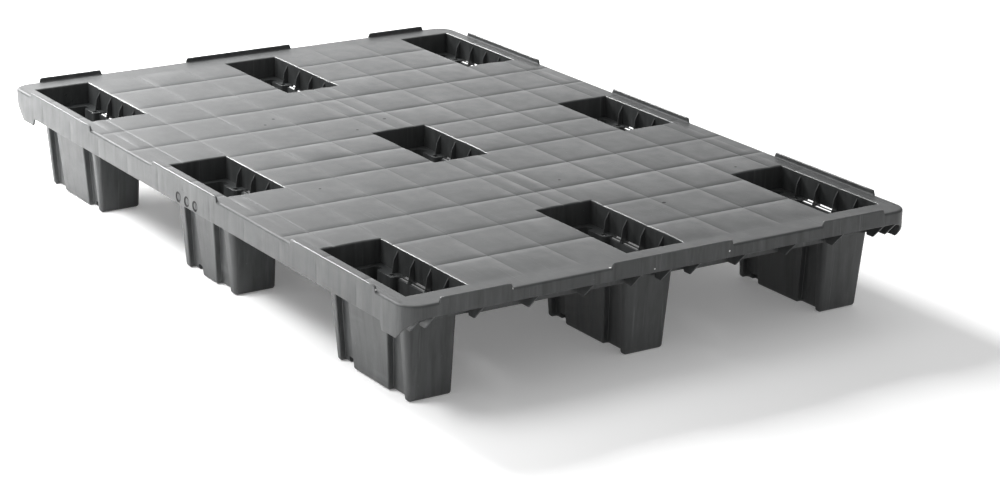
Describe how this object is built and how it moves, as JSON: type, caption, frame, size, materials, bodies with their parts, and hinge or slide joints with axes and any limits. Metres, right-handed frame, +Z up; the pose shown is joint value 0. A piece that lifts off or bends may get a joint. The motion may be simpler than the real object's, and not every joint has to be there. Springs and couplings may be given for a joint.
{
  "type": "nestable plastic pallet",
  "caption": "Nestable plastic pallet with a closed deck, low edge lips, hollow tapered feet open from above, and four-way fork entry.",
  "frame": {"origin": "on the floor, under the centre of the deck", "axes": "+X along the long side to the front end, +Y to the right-hand long side as seen by a person who faces the front end, +Z up"},
  "size_m": [1.2, 0.8, 0.156],
  "materials": {
    "moulded_plastic": "satin dark grey recycled polyolefin, with a fine moulded grain and light scuffs"
  },
  "bodies": {
    "root": {"corner_back_left": "moulded_plastic", "corner_back_right": "moulded_plastic", "corner_front_left": "moulded_plastic", "corner_front_right": "moulded_plastic", "deck_bay_left": "moulded_plastic", "deck_bay_right": "moulded_plastic", "deck_edge_left": "moulded_plastic", "deck_edge_right": "moulded_plastic", "deck_row_centre": "moulded_plastic", "deck_row_left": "moulded_plastic", "deck_row_right": "moulded_plastic", "foot_back_centre": "moulded_plastic", "foot_back_left": "moulded_plastic", "foot_back_right": "moulded_plastic", "foot_front_centre": "moulded_plastic", "foot_front_left": "moulded_plastic", "foot_front_right": "moulded_plastic", "foot_middle_centre": "moulded_plastic", "foot_middle_left": "moulded_plastic", "foot_middle_right": "moulded_plastic", "lip_back_centre": "moulded_plastic", "lip_back_left": "moulded_plastic", "lip_back_right": "moulded_plastic", "lip_front_centre": "moulded_plastic", "lip_front_left": "moulded_plastic", "lip_front_right": "moulded_plastic", "lip_left_back": "moulded_plastic", "lip_left_front": "moulded_plastic", "lip_left_middle": "moulded_plastic", "lip_right_back": "moulded_plastic", "lip_right_front": "moulded_plastic", "lip_right_middle": "moulded_plastic", "mould_marks": "moulded_plastic", "ribs_bay_left": "moulded_plastic", "ribs_bay_right": "moulded_plastic", "ribs_edge_left": "moulded_plastic", "ribs_edge_right": "moulded_plastic", "ribs_row_centre": "moulded_plastic", "ribs_row_left": "moulded_plastic", "ribs_row_right": "moulded_plastic", "skirt_back": "moulded_plastic", "skirt_front": "moulded_plastic", "skirt_left": "moulded_plastic", "skirt_right": "moulded_plastic", "well_back_centre": "moulded_plastic", "well_back_left": "moulded_plastic", "well_back_right": "moulded_plastic", "well_front_centre": "moulded_plastic", "well_front_left": "moulded_plastic", "well_front_right": "moulded_plastic", "well_middle_centre": "moulded_plastic", "well_middle_left": "moulded_plastic", "well_middle_right": "moulded_plastic"}
  },
  "joints": []
}
